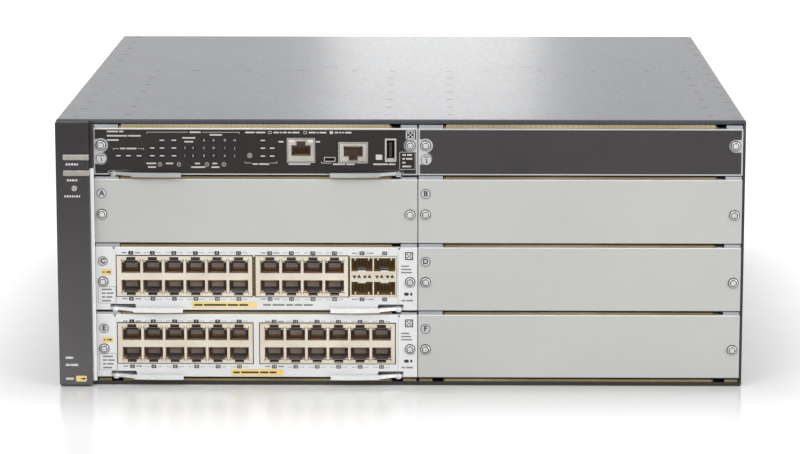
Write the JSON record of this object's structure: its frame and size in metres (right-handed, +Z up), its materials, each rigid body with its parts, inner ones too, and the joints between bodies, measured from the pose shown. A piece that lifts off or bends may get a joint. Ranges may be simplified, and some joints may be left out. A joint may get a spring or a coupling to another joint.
{
  "type": "modular network switch chassis",
  "caption": "Rack-height chassis with plug-in modules: stacked network jacks, filler panels, ejector levers, captive screws, a side bezel with lights, rear fans and power supplies.",
  "frame": {"origin": "centre of the bounding box's bottom face, on the surface the chassis stands on", "axes": "+Z up, -Y towards the front with the plug-in modules, +X to the right seen from the front"},
  "size_m": [0.4444, 0.466, 0.1753],
  "materials": {
    "cover_paint": "satin paint",
    "tub_paint": "satin paint",
    "plated_sheet": "dull plated",
    "bezel_plastic": "fine texture",
    "light_bar": "pearl",
    "circuit_board": "solder mask",
    "blank_paint": "light grey paint",
    "overlay_print": "printed film",
    "card_face": "pale grey paint",
    "jack_shield": "tin plated",
    "contact_strip": "dull",
    "screw_steel": "nickel plated",
    "lever_steel": "bright",
    "button_plastic": "smooth",
    "guide_plastic": "smooth",
    "fan_plastic": "smooth",
    "guard_wire": "bright",
    "supply_case": "zinc plated"
  },
  "bodies": {
    "chassis": {"chassis_tub": "tub_paint", "side_grilles": "tub_paint", "top_cover": "cover_paint", "cover_screws": "screw_steel", "cage_wall_left": "plated_sheet", "cage_divider": "plated_sheet", "card_guides": "guide_plastic", "front_bezel": "bezel_plastic", "bezel_lights": "light_bar", "bezel_led_board": "circuit_board", "backplane_board": "circuit_board", "gasket_strips": "contact_strip", "blank_cover_top": "blank_paint", "blank_top_overlay": "overlay_print", "blank_cover_a": "blank_paint", "blank_cover_b": "blank_paint", "blank_cover_d": "blank_paint", "blank_cover_f": "blank_paint", "blank_screws": "screw_steel", "rear_frame": "tub_paint", "bay_partitions": "plated_sheet"},
    "management_module": {"mgmt_tray": "card_face", "mgmt_overlay": "overlay_print", "mgmt_board": "circuit_board", "mgmt_network_jack": "jack_shield", "mgmt_console_jack": "jack_shield", "mgmt_usb_sockets": "jack_shield"},
    "line_card_c": {"card_c_tray": "card_face", "card_c_board": "circuit_board", "card_c_jacks_left": "jack_shield", "card_c_jacks_right": "jack_shield", "card_c_sfp_cage": "jack_shield"},
    "line_card_e": {"card_e_tray": "card_face", "card_e_board": "circuit_board", "card_e_jacks_left": "jack_shield", "card_e_jacks_right": "jack_shield"},
    "fan_tray": {"fan_tray": "tub_paint", "fan_guards": "guard_wire", "fan_housings": "fan_plastic"},
    "power_supply_upper": {"power_supply_upper": "supply_case"},
    "power_supply_lower": {"power_supply_lower": "supply_case"},
    "mgmt_lever_left": {"mgmt_lever_left": "lever_steel"},
    "mgmt_screw_left": {"mgmt_screw_left": "screw_steel"},
    "mgmt_lever_right": {"mgmt_lever_right": "lever_steel"},
    "mgmt_screw_right": {"mgmt_screw_right": "screw_steel"},
    "card_c_lever_left": {"card_c_lever_left": "lever_steel"},
    "card_c_screw_left": {"card_c_screw_left": "screw_steel"},
    "card_c_lever_right": {"card_c_lever_right": "lever_steel"},
    "card_c_screw_right": {"card_c_screw_right": "screw_steel"},
    "card_e_lever_left": {"card_e_lever_left": "lever_steel"},
    "card_e_screw_left": {"card_e_screw_left": "screw_steel"},
    "card_e_lever_right": {"card_e_lever_right": "lever_steel"},
    "card_e_screw_right": {"card_e_screw_right": "screw_steel"},
    "mode_button": {"mode_button": "button_plastic"},
    "reset_button": {"reset_button": "button_plastic"},
    "clear_button": {"clear_button": "button_plastic"},
    "shutdown_button": {"shutdown_button": "button_plastic"},
    "standby_button": {"standby_button": "button_plastic"},
    "fan_rotor_left": {"fan_rotor_left": "fan_plastic"},
    "fan_rotor_right": {"fan_rotor_right": "fan_plastic"}
  },
  "joints": [
    {"name": "management_module_slide", "type": "slide", "parent": "chassis", "child": "management_module", "axis": [0, -1, 0], "range_m": [0, 0.27]},
    {"name": "line_card_c_slide", "type": "slide", "parent": "chassis", "child": "line_card_c", "axis": [0, -1, 0], "range_m": [0, 0.27]},
    {"name": "line_card_e_slide", "type": "slide", "parent": "chassis", "child": "line_card_e", "axis": [0, -1, 0], "range_m": [0, 0.27]},
    {"name": "mgmt_lever_left_hinge", "type": "hinge", "parent": "management_module", "child": "mgmt_lever_left", "pos_m": [-0.1859, -0.223, 0.14], "axis": [0, 0, -1], "range_deg": [0, 90]},
    {"name": "mgmt_screw_left_turn", "type": "hinge", "parent": "management_module", "child": "mgmt_screw_left", "pos_m": [-0.1934, -0.226, 0.1584], "axis": [0, -1, 0], "continuous": true},
    {"name": "mgmt_lever_right_hinge", "type": "hinge", "parent": "management_module", "child": "mgmt_lever_right", "pos_m": [-0.0013, -0.223, 0.14], "axis": [0, 0, 1], "range_deg": [0, 90]},
    {"name": "mgmt_screw_right_turn", "type": "hinge", "parent": "management_module", "child": "mgmt_screw_right", "pos_m": [0.0062, -0.226, 0.1584], "axis": [0, -1, 0], "continuous": true},
    {"name": "card_c_lever_left_hinge", "type": "hinge", "parent": "line_card_c", "child": "card_c_lever_left", "pos_m": [-0.1859, -0.223, 0.0508], "axis": [0, 0, -1], "range_deg": [0, 90]},
    {"name": "card_c_screw_left_turn", "type": "hinge", "parent": "line_card_c", "child": "card_c_screw_left", "pos_m": [-0.1934, -0.226, 0.0686], "axis": [0, -1, 0], "continuous": true},
    {"name": "card_c_lever_right_hinge", "type": "hinge", "parent": "line_card_c", "child": "card_c_lever_right", "pos_m": [-0.0013, -0.223, 0.0508], "axis": [0, 0, 1], "range_deg": [0, 90]},
    {"name": "card_c_screw_right_turn", "type": "hinge", "parent": "line_card_c", "child": "card_c_screw_right", "pos_m": [0.0062, -0.226, 0.0686], "axis": [0, -1, 0], "continuous": true},
    {"name": "card_e_lever_left_hinge", "type": "hinge", "parent": "line_card_e", "child": "card_e_lever_left", "pos_m": [-0.1859, -0.223, 0.0062], "axis": [0, 0, -1], "range_deg": [0, 90]},
    {"name": "card_e_screw_left_turn", "type": "hinge", "parent": "line_card_e", "child": "card_e_screw_left", "pos_m": [-0.1934, -0.226, 0.024], "axis": [0, -1, 0], "continuous": true},
    {"name": "card_e_lever_right_hinge", "type": "hinge", "parent": "line_card_e", "child": "card_e_lever_right", "pos_m": [-0.0013, -0.223, 0.0062], "axis": [0, 0, 1], "range_deg": [0, 90]},
    {"name": "card_e_screw_right_turn", "type": "hinge", "parent": "line_card_e", "child": "card_e_screw_right", "pos_m": [0.0062, -0.226, 0.024], "axis": [0, -1, 0], "continuous": true},
    {"name": "mode_button_press", "type": "slide", "parent": "management_module", "child": "mode_button", "axis": [0, 1, 0], "range_m": [0, 0.0008], "stiffness_N_per_m": 400},
    {"name": "reset_button_press", "type": "slide", "parent": "management_module", "child": "reset_button", "axis": [0, 1, 0], "range_m": [0, 0.0006], "stiffness_N_per_m": 400},
    {"name": "clear_button_press", "type": "slide", "parent": "management_module", "child": "clear_button", "axis": [0, 1, 0], "range_m": [0, 0.0006], "stiffness_N_per_m": 400},
    {"name": "shutdown_button_press", "type": "slide", "parent": "management_module", "child": "shutdown_button", "axis": [0, 1, 0], "range_m": [0, 0.0006], "stiffness_N_per_m": 400},
    {"name": "standby_button_press", "type": "slide", "parent": "management_module", "child": "standby_button", "axis": [0, 1, 0], "range_m": [0, 0.0006], "stiffness_N_per_m": 400},
    {"name": "fan_tray_slide", "type": "slide", "parent": "chassis", "child": "fan_tray", "axis": [0, 1, 0], "range_m": [0, 0.06]},
    {"name": "fan_rotor_left_spin", "type": "hinge", "parent": "fan_tray", "child": "fan_rotor_left", "pos_m": [-0.143, 0.1985, 0.0875], "axis": [0, 1, 0], "continuous": true},
    {"name": "fan_rotor_right_spin", "type": "hinge", "parent": "fan_tray", "child": "fan_rotor_right", "pos_m": [-0.009, 0.1985, 0.0875], "axis": [0, 1, 0], "continuous": true},
    {"name": "power_supply_upper_slide", "type": "slide", "parent": "chassis", "child": "power_supply_upper", "axis": [0, 1, 0], "range_m": [0, 0.165]},
    {"name": "power_supply_lower_slide", "type": "slide", "parent": "chassis", "child": "power_supply_lower", "axis": [0, 1, 0], "range_m": [0, 0.165]}
  ]
}
